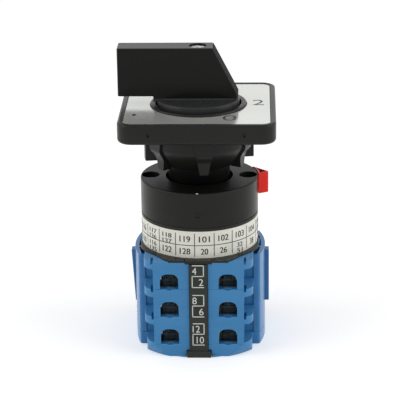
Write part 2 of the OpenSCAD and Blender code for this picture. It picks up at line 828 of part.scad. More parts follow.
// Clamp bracket: an inverted channel with a wire stop at its inner end
module terminal_clamps(i) {
  color([0.72, 0.72, 0.7]) translate([0, 0, stage_z(i)]) four_terminals() difference() {
    front_box(clamp_x0, clamp_x1, clamp_s0, clamp_s1, clamp_z, clamp_z + clamp_h);
    front_box(clamp_x0 + clamp_t, clamp_x1 - clamp_t, clamp_s0 + clamp_t, clamp_s1 + cut,
      clamp_z - cut, clamp_z + clamp_h - clamp_t);
    front_box(clamp_x0 + clamp_t, strip_x + strip_t + 0.3, clamp_s0 - cut, clamp_s1 + cut,
      clamp_z - cut, clamp_z + clamp_h - clamp_t);
    front_box(clamp_x0 + clamp_t, clamp_x1 - clamp_t, clamp_s0 - cut, clamp_s1,
      clamp_z - cut, 1.5);
    translate([0, -screw_y, axis_z]) rotate([0, 90, 0]) cylinder(r = thread_r, h = clamp_x1 + cut);
  }
}

module terminal_screws(i) {
  color([0.75, 0.75, 0.72]) translate([0, 0, stage_z(i)]) four_terminals()
    translate([0, -screw_y, axis_z]) rotate([0, 90, 0]) difference() {
      union() {
        translate([0, 0, screw_tip_x]) cylinder(r = screw_r, h = pocket_x1 - screw_tip_x + 0.2);
        translate([0, 0, pocket_x1]) cylinder(r = head_r, h = head_t);
      }
      translate([0, 0, pocket_x1 + head_t]) cross_recess(2.8);
    }
}

// Arched wire entry, open at the stage's lower face
module entry_profile() {
  half = entry_w / 2;
  translate([-half, -cut]) square([entry_w, entry_h - entry_arch_r + cut]);
  translate([-half + entry_arch_r, 0]) square([entry_w - 2 * entry_arch_r, entry_h]);
  for (x = [-1, 1]) translate([x * (half - entry_arch_r), entry_h - entry_arch_r]) circle(entry_arch_r);
}

// Shallow channels under the wires, in the face that closes the entries above it
module entry_floors(z) {
  four_terminals() translate([entry_x, -clamp_s1 - cut, z + entry_floor_r - entry_floor_depth])
    rotate([90, 0, 0]) cylinder(r = entry_floor_r, h = face_y);
}

module marker_channel(z0, z1) {
  both_sides() front_box(-marker_w / 2 - strip_gap, marker_w / 2 + strip_gap, face_y - groove_d,
    face_y + cut, z0, z1);
}

module stage_hollows() {
  top = hollow_h;
  translate([0, 0, -cut]) cylinder(r = cam_room_r, h = top + cut);
  both_sides() {
    front_box(-plunger_w / 2 - channel_gap, plunger_w / 2 + channel_gap, cam_room_r - 1.5,
      chamber_s + cut, -cut, top);
    front_box(-strip_x - strip_t - 0.15, strip_x + strip_t + 0.15, chamber_s, chamber_end_s, -cut, top);
    front_box(-plunger_w / 2 - 0.3, plunger_w / 2 + 0.3, chamber_end_s - cut, spring_wall_s, -cut, top);
  }
  four_terminals() {
    front_box(clamp_x0 - 0.1, pocket_x1, chamber_end_s, pocket_s1, -cut, top);
    front_box(strip_x - 0.1, strip_x + strip_t + 0.15, chamber_s, pocket_s1, -cut, top);
    front_box(pocket_x1 - cut, flange_x + cut, screw_y - head_r - 0.2, screw_y + head_r + 0.2,
      -cut, axis_z + head_r + 0.2);
    translate([entry_x, -pocket_s1 + cut, 0]) rotate([90, 0, 0]) linear_extrude(face_y) entry_profile();
  }
}

module stage(i) {
  color([0.2, 0.44, 0.72]) translate([0, 0, stage_z(i)]) difference() {
    union() {
      translate([0, 0, stage_h - flange_t]) linear_extrude(flange_t)
        round_rect(2 * flange_x, 2 * face_y, flange_corner_r);
      linear_extrude(stage_h) square([2 * block_x, 2 * face_y], center = true);
      linear_extrude(stage_h) square([2 * flange_x, 2 * ear_y], center = true);
      bolt_places() cylinder(r = bolt_boss_r, h = stage_h);
    }
    stage_hollows();
    cylinder(r = roof_bore_r, h = 3 * stage_h, center = true);
    bolt_places() cylinder(r = bolt_hole_r, h = 3 * stage_h, center = true);
    marker_channel(-cut, stage_h + cut);
    if (i > 1) entry_floors(stage_h);
    // Slots beside the block, for the hooks that hold the pieces together in assembly
    four_terminals() front_box(block_x, block_x + hook_slot_w, face_y - hook_slot_len, face_y + cut, stage_h - 1,
      stage_h + cut);
    if (i == 1) translate([0, 0, stage_h - base_inset]) cylinder(r = base_r + 0.1, h = stage_h);
    if (i == 1) both_sides() front_box(-base_tab_w / 2 - strip_gap, base_tab_w / 2 + strip_gap,
      base_r - 2, face_y + cut, stage_h - base_inset, stage_h + cut);
  }
}

module end_plate() {
  color([0.2, 0.44, 0.72]) difference() {
    union() {
      intersection() {
        linear_extrude(end_t) round_rect(2 * end_x, 2 * face_y, flange_corner_r + 2.3);
        cylinder(r1 = end_reach, r2 = end_reach + end_flare, h = end_t);
      }
      // Round lip under the front and the rear edge
      both_sides() intersection() {
        cylinder(r = face_y + lip_reach, h = lip_t);
        front_box(-block_x, block_x, face_y - 1, face_y + 2, 0, lip_t);
      }
      bolt_places() cylinder(r = bolt_boss_r, h = end_t);
    }
    translate([0, 0, journal_z - 0.2]) cylinder(r = journal_r + run_gap, h = end_t);
    bolt_places() translate([0, 0, -cut]) cylinder(r = bolt_hole_r, h = end_t + 2 * cut);
    bolt_places() translate([0, 0, -cut]) hexagon(nut_flats + 0.2, nut_z + nut_t + cut);
    entry_floors(end_t);
    marker_channel(-cut, end_t + cut);
    both_sides() front_box(-foot_w / 2 - strip_gap, foot_w / 2 + strip_gap, face_y - groove_d,
      face_y + 2, -cut, foot_h + strip_gap);
  }
}

module marker_strip() {
  seat = face_y - groove_d + seat_gap;
  color([0.12, 0.13, 0.12]) {
    front_box(-marker_w / 2, marker_w / 2, seat, face_y + marker_rise, 0, z_base - seat_gap);
    front_box(-foot_w / 2, foot_w / 2, seat, face_y + marker_rise + 0.5, 0, foot_h);
  }
}

module through_bolts() {
  color([0.7, 0.7, 0.68]) bolt_places() difference() {
    union() {
      translate([0, 0, nut_z + 0.2]) cylinder(r = bolt_r, h = z_bolt_seat - nut_z);
      translate([0, 0, z_bolt_seat]) cylinder(r = bolt_head_r, h = bolt_head_h);
    }
    translate([0, 0, z_bolt_seat + bolt_head_h]) cross_recess(cross_size);
  }
}

module bolt_nuts() {
  color([0.7, 0.7, 0.68]) bolt_places() translate([0, 0, nut_z]) difference() {
    hexagon(nut_flats, nut_t);
    translate([0, 0, -cut]) cylinder(r = bolt_r + 0.02, h = nut_t + 2 * cut);
  }
}

// Side covers and plates, drawn on the right side

// A side plate's section: it leans in and thins towards its lower end
module side_plate_section(lean, gap) {
  z0 = z_side_plate;
  z1 = z0 + side_plate_len;
  out = side_plate_x + side_plate_t;
  polygon([[side_plate_x - lean * 0.6 - gap, z0 - gap], [out - lean, z0 - gap], [out, z1 + gap],
    [side_plate_x - gap, z1 + gap]]);
}

module along_y(half) {
  rotate([90, 0, 0]) translate([0, 0, -half]) linear_extrude(2 * half) children();
}

module side_cover(lean) {
  height = z_stack - side_drop;
  inner = side_r - side_wall;
  color([0.2, 0.44, 0.72]) difference() {
    linear_extrude(height) difference() {
      intersection() {
        circle(side_r);
        translate([flange_x + seat_gap, -ear_y]) square([side_r, 2 * ear_y]);
      }
      difference() {
        intersection() {
          circle(inner);
          translate([0, -ear_y + side_wall]) square([side_r, 2 * (ear_y - side_wall)]);
        }
        for (y = [-1, 1]) translate([0, y * cover_rib_y - 0.5]) square([side_r, 1]);
      }
    }
    // Seat of the side plate and the slot for its rib
    if (lean > 0) along_y(side_plate_y + 0.1) side_plate_section(lean, seat_gap);
    along_y(plate_rib_w / 2 + 0.1) translate([side_slot_floor, z_side_plate - 0.1])
      square([side_r, side_plate_len + 0.2]);
  }
}

module side_plate(lean) {
  color([0.16, 0.36, 0.6]) {
    along_y(side_plate_y) side_plate_section(lean, 0);
    // Rib that seats the plate in the cover's slot
    along_y(plate_rib_w / 2) polygon([
      [side_slot_floor + 0.03, z_side_plate], [side_plate_x - lean * 0.6 + 0.1, z_side_plate],
      [side_plate_x + 0.1, z_side_plate + side_plate_len],
      [side_slot_floor + 0.03, z_side_plate + side_plate_len]]);
  }
}

handle();
handle_screw();
handle_washer();
bezel_frame();
legend_plate();
mounting_base();
panel_gasket();
thrust_washer();
ring_nut();
latch_cover();
lock_lever();
detent_housing();
rating_label();
detent_star();
detent_rollers();
detent_springs();
shaft();
for (i = [1:STAGES]) {
  stage(i);
  cam(i);
  plunger(i);
  rotate(180) plunger(i);
  bridge(i);
  rotate(180) bridge(i);
  contact_spring(i);
  rotate(180) contact_spring(i);
  fixed_contacts(i);
  terminal_clamps(i);
  terminal_screws(i);
}
end_plate();
marker_strip();  // marker_strip_front
rotate(180) marker_strip();  // marker_strip_rear
through_bolts();
bolt_nuts();
mirror([1, 0, 0]) side_cover(side_plate_lean);  // side_cover_left
side_cover(0);  // side_cover_right
mirror([1, 0, 0]) side_plate(side_plate_lean);  // side_plate_left
side_plate(0);  // side_plate_right
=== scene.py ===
"""Cam changeover switch: materials, softened edges, prints and small fittings round its CAD frame."""

import json
import math

import bmesh
import bpy
from mathutils import Matrix, Vector

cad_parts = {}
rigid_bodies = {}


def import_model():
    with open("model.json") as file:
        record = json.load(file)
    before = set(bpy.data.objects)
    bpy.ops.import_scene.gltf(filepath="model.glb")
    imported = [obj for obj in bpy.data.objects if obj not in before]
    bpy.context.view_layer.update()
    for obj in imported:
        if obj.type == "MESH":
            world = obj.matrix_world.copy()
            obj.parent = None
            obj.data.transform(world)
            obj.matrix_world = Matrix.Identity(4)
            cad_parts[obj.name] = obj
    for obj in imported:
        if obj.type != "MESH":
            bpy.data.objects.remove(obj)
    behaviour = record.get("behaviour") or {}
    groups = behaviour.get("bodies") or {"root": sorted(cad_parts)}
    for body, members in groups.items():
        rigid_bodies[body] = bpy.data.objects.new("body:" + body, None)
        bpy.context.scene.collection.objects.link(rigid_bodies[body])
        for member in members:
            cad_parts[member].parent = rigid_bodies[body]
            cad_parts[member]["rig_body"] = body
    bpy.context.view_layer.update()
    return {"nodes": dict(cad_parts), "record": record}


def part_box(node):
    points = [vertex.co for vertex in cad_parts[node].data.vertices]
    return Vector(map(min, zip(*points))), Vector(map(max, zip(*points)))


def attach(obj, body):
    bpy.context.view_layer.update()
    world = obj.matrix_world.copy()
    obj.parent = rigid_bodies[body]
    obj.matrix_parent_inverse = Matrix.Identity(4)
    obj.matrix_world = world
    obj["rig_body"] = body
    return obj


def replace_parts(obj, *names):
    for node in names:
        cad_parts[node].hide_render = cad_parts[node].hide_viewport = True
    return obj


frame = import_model()

MM = 0.001


def box_of(node):
    """The low and the high corner of a CAD node's box, in millimetres."""
    return [[round(c / MM, 3) for c in corner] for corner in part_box(node)]


def top_of(node):
    """The level of a CAD node's top, in millimetres."""
    return box_of(node)[1][2]


# Levels and sizes of the switch in millimetres, from the frame where it has them. SEAT is the gap
# between seated pieces, and nothing that is cut away lies further out than BEYOND.
STAGES = 3
SEAT = 0.02
END_PLATE = top_of("end_plate")
STACK_TOP = top_of("stage_1")
STAGE_HEIGHT = (STACK_TOP - END_PLATE) / STAGES
STRIP_FACE = box_of("marker_strip_rear")[1][1] - 0.5
LABEL_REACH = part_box("rating_label")[1][0] / MM
LABEL_LOW = box_of("rating_label")[0][2] - SEAT
LABEL_HIGH = top_of("rating_label") + SEAT
HOUSING_RADIUS = box_of("latch_cover")[1][0]
COVER_TOP = top_of("latch_cover")
LEGEND_TOP = top_of("legend_plate")
DISC_TOP = 79.1
NUT_TOP = top_of("ring_nut") - 0.07
BEYOND = 24.0

# Angles from which an edge is softened, up to which shading is smooth, and within which faces are one
SHARP = math.radians(40)
SMOOTH = math.radians(38)
FLAT = math.radians(0.5)

# Light level of the surroundings, and what the floor adds to reach white
SKY_LIGHT = 0.62
FLOOR_GLOW = 0.32


# Camera and lamps

def shown(name, data):
    """An object in the scene, for good or for a step on the way to a piece."""
    thing = bpy.data.objects.new(name, data)
    bpy.context.scene.collection.objects.link(thing)
    return thing


def make_camera():
    """The photograph's viewpoint, fitted with the front plate at its real size."""
    azimuth, elevation, roll = (math.radians(a) for a in (2.044, 19.387, 0.7207))
    spot = (0.01808, -0.50655, 0.22537)
    back = Vector((math.sin(azimuth) * math.cos(elevation),
                   -math.cos(azimuth) * math.cos(elevation), math.sin(elevation)))
    right = Vector((math.cos(azimuth), math.sin(azimuth), 0))
    up = back.cross(right)
    across = right * math.cos(roll) - up * math.sin(roll)
    upright = right * math.sin(roll) + up * math.cos(roll)
    data = bpy.data.cameras.new("camera")
    data.sensor_width = 36
    data.lens = 152.54
    data.shift_x = 0.00099
    data.shift_y = -0.01554
    camera = shown("camera", data)
    camera.matrix_world = Matrix.Translation(spot) @ Matrix((across, upright, back)).transposed().to_4x4()
    bpy.context.scene.camera = camera


def make_softbox(name, place, power):
    """A square soft lamp that looks at the switch."""
    side, target = 0.8, (0, 0, 0.05)
    data = bpy.data.lights.new(name, "AREA")
    data.shape = "SQUARE"
    data.size = side
    data.energy = power
    aim = (Vector(target) - Vector(place)).to_track_quat("-Z", "Y").to_matrix().to_4x4()
    shown(name, data).matrix_world = Matrix.Translation(place) @ aim


# Materials

def tone(red, green, blue):
    """A colour written in 0 to 255 display figures, as the shader wants it."""
    linear = []
    for value in (red, green, blue):
        value /= 255
        linear.append(value / 12.92 if value <= 0.04045 else ((value + 0.055) / 1.055) ** 2.4)
    return (*linear, 1.0)


class Wire:
    """A socket of a shader on which sums and products can be written."""

    def __init__(self, finish, socket):
        self.finish = finish
        self.socket = socket

    def math(self, operation, *values):
        sockets = dict(enumerate(values))
        return self.finish.node("ShaderNodeMath", {"operation": operation}, sockets)

    def __add__(self, other):
        return self.math("ADD", self, other)

    def __radd__(self, other):
        return self.math("ADD", other, self)

    def __sub__(self, other):
        return self.math("SUBTRACT", self, other)

    def __rsub__(self, other):
        return self.math("SUBTRACT", other, self)

    def __mul__(self, other):
        return self.math("MULTIPLY", self, other)

    def __rmul__(self, other):
        return self.math("MULTIPLY", other, self)

    def __truediv__(self, other):
        return self.math("DIVIDE", self, other)

    def __rtruediv__(self, other):
        return self.math("DIVIDE", other, self)

    def __gt__(self, other):
        return self.math("GREATER_THAN", self, other)

    def __lt__(self, other):
        return self.math("LESS_THAN", self, other)

    def __abs__(self):
        return self.math("ABSOLUTE", self)


class Finish:
    """One material, built node by node."""

    def __init__(self, name):
        self.material = bpy.data.materials.new(name)
        self.material.use_nodes = True
        self.tree = self.material.node_tree
        self.tree.nodes.clear()

    def node(self, kind, settings=None, sockets=None, output=0):
        """One more node: its settings first, then the values or the links of its sockets."""
        made = self.tree.nodes.new(kind)
        for key, value in (settings or {}).items():
            if key == "stops":
                self.set_stops(made.color_ramp, value)
            else:
                setattr(made, key, value)
        for key, value in (sockets or {}).items():
            if isinstance(value, Wire):
                self.tree.links.new(value.socket, made.inputs[key])
            else:
                made.inputs[key].default_value = value
        return Wire(self, made.outputs[output])

    @staticmethod
    def set_stops(ramp, stops):
        while len(ramp.elements) < len(stops):
            ramp.elements.new(1.0)
        for element, (place, grey) in zip(ramp.elements, stops):
            element.position = place
            element.color = (grey, grey, grey, 1.0)

    def place(self, stretch=(1, 1, 1)):
        """Object coordinates in millimetres, stretched along an axis where asked."""
        sockets = {"Vector": self.node("ShaderNodeTexCoord", output="Object"),
                   "Scale": tuple(share / MM for share in stretch)}
        return self.node("ShaderNodeMapping", {"vector_type": "POINT"}, sockets)

    def along(self, axis):
        """The place along one axis of the switch, in millimetres."""
        return self.node("ShaderNodeSeparateXYZ", {}, {"Vector": self.place()}, axis)

    def noise(self, place, per_mm, detail=2.0, roughness=0.5, distortion=0.0):
        sockets = {"Vector": place, "Scale": per_mm, "Detail": detail, "Roughness": roughness,
                   "Distortion": distortion}
        return self.node("ShaderNodeTexNoise", {"noise_dimensions": "3D"}, sockets, "Fac")

    def cells(self, place, per_mm):
        return self.node("ShaderNodeTexVoronoi", {"feature": "F1"}, {"Vector": place, "Scale": per_mm},
                         "Distance")

    def ramp(self, factor, *stops):
        return self.node("ShaderNodeValToRGB", {"stops": stops}, {"Fac": factor}, "Color")

    def mix(self, first, second, factor):
        sockets = {"Factor": factor, 6: first, 7: second}
        return self.node("ShaderNodeMix", {"data_type": "RGBA"}, sockets, 2)

    def patch(self, look, mask, colour, share, rougher=0.0):
        """A colour and its roughness, changed where a mask is 1."""
        plain, roughness = look
        return self.mix(plain, colour, mask * share), roughness + mask * rougher

    def marked(self, name):
        """1 on the faces that carry a mark, 0 elsewhere."""
        return self.node("ShaderNodeAttribute", {"attribute_name": name}, output="Fac")

    def bump(self, height, depth_mm):
        return self.node("ShaderNodeBump", {}, {"Height": height, "Distance": depth_mm * MM}, "Normal")

    def finish_with(self, colour, roughness, normal, **fixed):
        sockets = {"Base Color": colour, "Roughness": roughness, "Normal": normal, **fixed}
        self.node_output(self.node("ShaderNodeBsdfPrincipled", {}, sockets))
        return self.material

    def node_output(self, shader):
        made = self.tree.nodes.new("ShaderNodeOutputMaterial")
        self.tree.links.new(shader.socket, made.inputs["Surface"])


def moulded(name, dark, light, rough=0.3, grain_depth=0.008, edge_highlight_share=0.25, shine=0.26, painted_shade_above=None,
            painted_sheen_below=None, dulled_faces=False):
    """Moulded plastic: a spark-eroded grain, slow flow marks, and a painted highlight on the softened
    edges.
    Above one level in millimetres it may carry painted shade, darker and rougher, and below another
    one a painted sheen, paler. Faces marked as dulled may be darker and rougher."""
    finish = Finish(name)
    place = finish.place()
    flow = finish.noise(finish.place((0.35, 0.35, 1.0)), 0.16, 3.0, 0.55, 0.4)
    grain = finish.noise(place, 3.2, 3.0, 0.6)
    speck = finish.cells(place, 2.1)
    edge = finish.marked("softened")
    tint = flow * 0.75 + grain * 0.25
    colour = finish.mix(dark, light, finish.ramp(tint, (0.3, 0.0), (0.7, 1.0)))
    # Painted highlight: the softened edges are lighter than the plastic.
    painted_edge_highlight = tuple(min(1.0, c * 1.6 + 0.02) for c in light[:3]) + (1.0,)
    roughness = rough + (flow - 0.5) * 0.1 + (grain - 0.5) * 0.12
    look = finish.patch((colour, roughness), edge, painted_edge_highlight, edge_highlight_share, -0.06)
    # Painted shade: darker and rougher above the given level, as under the bezel.
    if painted_shade_above is not None:
        look = finish.patch(look, finish.along("Z") > painted_shade_above, tone(9, 9, 8), 0.8, 0.12)
    # Painted sheen: paler below the given level.
    if painted_sheen_below is not None:
        look = finish.patch(look, finish.along("Z") < painted_sheen_below, tone(52, 54, 53), 0.8)
    if dulled_faces:
        look = finish.patch(look, finish.marked("dulled"), tone(5, 5, 5), 0.8, 0.5)
    normal = finish.bump(grain * 0.7 + speck * 0.3, grain_depth)
    return finish.finish_with(*look, normal, **{"IOR": 1.46, "Specular IOR Level": shine})


def rolled_metal(name, dark, light, rough=0.3, stain=0.2, painted_shade_from=None):
    """Plated or bare metal with a drawn grain and faint stains.
    It may carry painted shade, nearly black and rougher, past a length in millimetres along Y."""
    finish = Finish(name)
    lines = finish.noise(finish.place((1, 1, 0.15)), 5.0, 4.0, 0.65)
    cloud = finish.noise(finish.place(), 0.5, 3.0, 0.6, 0.6)
    shade = lines * (1 - stain) + cloud * stain
    colour = finish.mix(dark, light, finish.ramp(shade, (0.25, 0.0), (0.75, 1.0)))
    roughness = rough + (cloud - 0.5) * 0.2 + (lines - 0.5) * 0.12 - finish.marked("softened") * 0.06
    look = (colour, roughness)
    # Painted shade: nearly black and rougher further out along Y, where the wire entries are.
    if painted_shade_from is not None:
        past = (abs(finish.along("Y")) - painted_shade_from) / 2
        look = finish.patch(look, finish.ramp(past, (0.0, 0.0), (1.0, 1.0)), tone(16, 20, 22), 0.96, 0.25)
    return finish.finish_with(*look, finish.bump(lines, 0.004), Metallic=1.0)


def label_film():
    """Printed label stock with a faint fibre and slightly yellowed patches."""
    finish = Finish("label_film")
    cloud = finish.noise(finish.place(), 0.25, 3.0, 0.6)
    fibre = finish.noise(finish.place((1, 1, 3)), 4.0, 3.0, 0.7)
    shade = finish.ramp(cloud * 0.6 + fibre * 0.4, (0.3, 0.0), (0.7, 1.0))
    colour = finish.mix(tone(216, 215, 203), tone(228, 227, 217), shade)
    roughness = 0.38 + (fibre - 0.5) * 0.2
    return finish.finish_with(colour, roughness, finish.bump(fibre, 0.003), IOR=1.45)


def ink(name, dark, light):
    """Printing ink, slightly uneven in its cover."""
    finish = Finish(name)
    cover = finish.noise(finish.place(), 3.0, 3.0, 0.7)
    colour = finish.mix(dark, light, finish.ramp(cover, (0.35, 0.0), (0.75, 1.0)))
    roughness = 0.5 + (cover - 0.5) * 0.3
    return finish.finish_with(colour, roughness, finish.bump(cover, 0.002))


def legend_silver():
    """Silver legend sheet: fine lines along X under a clear coat."""
    finish = Finish("legend_silver")
    lines = finish.noise(finish.place((0.02, 1.0, 1.0)), 12.0, 4.0, 0.7)
    cloud = finish.noise(finish.place((0.4, 1.0, 1.0)), 0.1, 2.0, 0.5)
    shade = finish.ramp(lines * 0.6 + cloud * 0.4, (0.3, 0.0), (0.7, 1.0))
    colour = finish.mix(tone(216, 218, 212), tone(228, 230, 224), shade)
    roughness = 0.17 + (lines - 0.5) * 0.1 + (cloud - 0.5) * 0.06 + finish.marked("softened") * 0.05
    return finish.finish_with(colour, roughness, finish.bump(lines, 0.0006), Metallic=0.6,
                              **{"Coat Weight": 0.15, "Coat Roughness": 0.1})


def gasket_rubber():
    """Dull rubber with bloom."""
    finish = Finish("gasket_rubber")
    bloom = finish.noise(finish.place(), 0.9, 4.0, 0.7)
    pores = finish.cells(finish.place(), 4.0)
    colour = finish.mix(tone(22, 22, 23), tone(58, 57, 55), finish.ramp(bloom, (0.45, 0.0), (0.9, 1.0)))
    roughness = 0.72 + (bloom - 0.5) * 0.2
    return finish.finish_with(colour, roughness, finish.bump(pores, 0.02), IOR=1.5)


# What sets each plastic, metal and ink apart
PLASTICS = {
    # Handle: the disc under the lever is painted paler, a painted sheen on it.
    "handle_black": {"dark": tone(12, 13, 11), "light": tone(18, 19, 16), "rough": 0.26,
                     "grain_depth": 0.007, "edge_highlight_share": 0.3, "shine": 0.16,
                     "painted_sheen_below": DISC_TOP + 0.5, "dulled_faces": True},
    "bezel_black": {"dark": tone(19, 20, 18), "light": tone(26, 27, 24), "grain_depth": 0.010,
                    "edge_highlight_share": 0.3, "shine": 0.24},
    # Neck: nearly black with little shine, a painted shade under the bezel.
    "neck_black": {"dark": tone(4, 5, 4), "light": tone(8, 9, 7), "rough": 0.34, "edge_highlight_share": 0.2,
                   "shine": 0.06},
    "nut_black": {"dark": tone(18, 19, 17), "light": tone(25, 26, 23), "rough": 0.32,
                  "grain_depth": 0.010, "edge_highlight_share": 0.35, "shine": 0.22},
    # Latch cover: its top is painted darker, a painted shade under the bezel.
    "latch_black": {"dark": tone(24, 24, 21), "light": tone(30, 30, 26), "grain_depth": 0.010,
                    "shine": 0.2, "painted_shade_above": COVER_TOP - 0.3},
    "detent_black": {"dark": tone(24, 24, 20), "light": tone(31, 31, 26), "rough": 0.28,
                     "grain_depth": 0.009},
    "strip_black": {"dark": tone(36, 43, 37), "light": tone(44, 50, 44), "rough": 0.4},
    "lever_red": {"dark": tone(212, 30, 20), "light": tone(226, 40, 28), "rough": 0.26,
                  "edge_highlight_share": 0.1, "shine": 0.24},
    "stage_blue": {"dark": tone(60, 124, 174), "light": tone(68, 133, 184), "grain_depth": 0.009,
                   "edge_highlight_share": 0.22},
    "cover_blue": {"dark": tone(52, 116, 170), "light": tone(60, 125, 180), "rough": 0.24,
                   "grain_depth": 0.007, "shine": 0.32},
    # Side plates: a darker blue than the covers as painted shade, with a strong painted edge highlight.
    "side_plate_blue": {"dark": tone(44, 94, 144), "light": tone(54, 106, 156), "edge_highlight_share": 0.5,
                        "shine": 0.34},
    "nylon_cream": {"dark": tone(214, 208, 190), "light": tone(228, 224, 208), "rough": 0.34,
                    "grain_depth": 0.010, "edge_highlight_share": 0.1, "shine": 0.4},
}
METALS = {
    "zinc_steel": {"dark": tone(166, 167, 166), "light": tone(228, 229, 228), "rough": 0.26},
    # Clamp steel: its dark tone is a painted shade of the wire entries, its bright patches painted glints.
    "clamp_steel": {"dark": tone(22, 30, 33), "light": tone(112, 126, 132), "rough": 0.26, "stain": 0.6},
    "screw_steel": {"dark": tone(120, 121, 118), "light": tone(190, 190, 184), "rough": 0.32},
    # Screw steel: darker than the zinc steel, a painted shade for the screws deep in their pockets.
    "spring_steel": {"dark": tone(140, 141, 143), "light": tone(205, 206, 208), "rough": 0.25},
    "contact_copper": {"dark": tone(176, 108, 72), "light": tone(222, 152, 108)},
    # Contact brass: painted shade past 9 mm out along Y, inside the wire entries.
    "contact_brass": {"dark": tone(176, 136, 70), "light": tone(226, 190, 116), "rough": 0.28,
                      "painted_shade_from": 9.0},
}
INKS = {
    "ink_black": {"dark": tone(26, 26, 24), "light": tone(48, 48, 44)},
    "ink_white": {"dark": tone(196, 198, 192), "light": tone(226, 228, 222)},
    "ink_grey": {"dark": tone(44, 44, 42), "light": tone(74, 74, 71)},
    # Painted highlight for the small nub on the latch cover's front edge.
    "gate_white": {"dark": tone(170, 170, 168), "light": tone(214, 214, 212)},
}


def make_finishes():
    """One finish for each slot of the record, and the inks."""
    made = {"legend_silver": legend_silver(), "label_film": label_film(), "gasket_rubber": gasket_rubber()}
    for recipe, kinds in ((moulded, PLASTICS), (rolled_metal, METALS), (ink, INKS)):
        for name, values in kinds.items():
            made[name] = recipe(name, **values)
    return made


FINISHES = make_finishes()


# Meshes

def mesh_from(shape, name):
    """A mesh of an editable shape, which is used up."""
    mesh = bpy.data.meshes.new(name)
    shape.to_mesh(mesh)
    shape.free()
    return mesh


def evaluated_mesh(thing):
    """What an object's modifiers or its text make, as a plain mesh."""
    graph = bpy.context.evaluated_depsgraph_get()
    return bpy.data.meshes.new_from_object(thing.evaluated_get(graph), preserve_all_data_layers=True,
                                           depsgraph=graph)


def shape_from(mesh):
    """An editable shape of a mesh, which is used up."""
    shape = bmesh.new()
    shape.from_mesh(mesh)
    bpy.data.meshes.remove(mesh)
    return shape


def even_shading(mesh):
    """Flat faces stay flat and round ones smooth, with sharp edges from their angle."""
    mesh.shade_smooth()
    mesh.set_sharp_from_angle(angle=SMOOTH)
    holder = shown("shading", mesh)
    weigh = holder.modifiers.new("weigh", "WEIGHTED_NORMAL")
    weigh.keep_sharp = True
    shaded = evaluated_mesh(holder)
    bpy.data.objects.remove(holder)
    bpy.data.meshes.remove(mesh)
    return shaded


def new_piece(name, shape, body, finish, shaded=False):
    """A finished shape as a piece of the switch. Its slot holds its finish."""
    mesh = mesh_from(shape, name)
    if shaded:
        mesh = even_shading(mesh)
    mesh.materials.clear()
    mesh.materials.append(FINISHES[finish])
    piece = shown(name, mesh)
    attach(piece, body)
    return piece


def stand_in(node, shape, finish):
    """A finished shape as the piece that stands for a CAD node."""
    body = frame["nodes"][node]["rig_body"]
    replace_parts(new_piece(node + "_finished", shape, body, finish, shaded=True), node)


def join(target, shape):
    """Adds a shape to a bigger one."""
    mesh = mesh_from(shape, "part")
    target.from_mesh(mesh)
    bpy.data.meshes.remove(mesh)


def placed(shape, spot=lambda p: p):
    """Moves every point of a shape, given in millimetres, to where a rule puts it."""
    for vertex in shape.verts:
        vertex.co = Vector(spot(vertex.co)) * MM
    bmesh.ops.recalc_face_normals(shape, faces=shape.faces)


def lofted(rings):
    """A closed shape through rings of points, each joined to the next."""
    shape = bmesh.new()
    loops = [[shape.verts.new(point) for point in ring] for ring in rings]
    shape.faces.new(loops[0][::-1])
    shape.faces.new(loops[-1])
    for lower, upper in zip(loops, loops[1:]):
        for index, vertex in enumerate(lower):
            after = (index + 1) % len(lower)
            shape.faces.new((vertex, lower[after], upper[after], upper[index]))
    return shape


def prism(outline, low, high):
    """A closed prism of a flat outline, between two heights."""
    shape = lofted([[(x, y, level) for x, y in outline] for level in (low, high)])
    bmesh.ops.recalc_face_normals(shape, faces=shape.faces)
    return shape


def turned(profile, steps):
    """A ring turned round the switch's axis from a closed profile of radii and levels."""
    shape = bmesh.new()
    loops = []
    for number in range(steps):
        angle = 2 * math.pi * number / steps
        loops.append([shape.verts.new((r * math.cos(angle), r * math.sin(angle), z)) for r, z in profile])
    for first, second in zip(loops, loops[1:] + loops[:1]):
        for index, vertex in enumerate(first):
            after = (index + 1) % len(first)
            shape.faces.new((vertex, second[index], second[after], first[after]))
    return shape


# Softened edges of the CAD nodes

def edge_chains(edges):
    """Groups of edges that run on smoothly into each other."""
    at_vertex = {}
    for edge in edges:
        for vertex in edge.verts:
            at_vertex.setdefault(vertex, []).append(edge)
    leader = {edge: edge for edge in edges}

    def find(edge):
        while leader[edge] is not edge:
            edge = leader[edge]
        return edge

    for vertex, met in at_vertex.items():
        if len(met) != 2:
            continue
        arms = [(e.other_vert(vertex).co - vertex.co).normalized() for e in met]
        if arms[0].dot(arms[1]) < -math.cos(SHARP):
            leader[find(met[0])] = find(met[1])
    chains = {}
    for edge in edges:
        chains.setdefault(find(edge), []).append(edge)
    return list(chains.values())


def roomy_edges(edges, width):
    """The edges that have room on both their faces for a rounding of this width."""
    shortest, room = 3 * width, 2.4 * width
    chains = edge_chains(edges)
    chain_of = {edge: number for number, chain in enumerate(chains) for edge in chain}
    length = [sum(e.calc_length() for e in chain) for chain in chains]
    corners = [{v for e in chain for v in e.verts} for chain in chains]
    kept = {n for n in range(len(chains)) if length[n] > shortest}
    for face in {f for e in edges for f in e.link_faces}:
        here = {}
        for edge in face.edges:
            if edge in chain_of:
                here.setdefault(chain_of[edge], []).append(edge)
        numbers = sorted(here, key=lambda n: length[n])
        for index, low in enumerate(numbers):
            for high in numbers[index + 1:]:
                if low not in kept or high not in kept or corners[low] & corners[high]:
                    continue
                if chains_near(here[low], here[high], room):
                    kept.discard(low)
    return [e for n in kept for e in chains[n]]


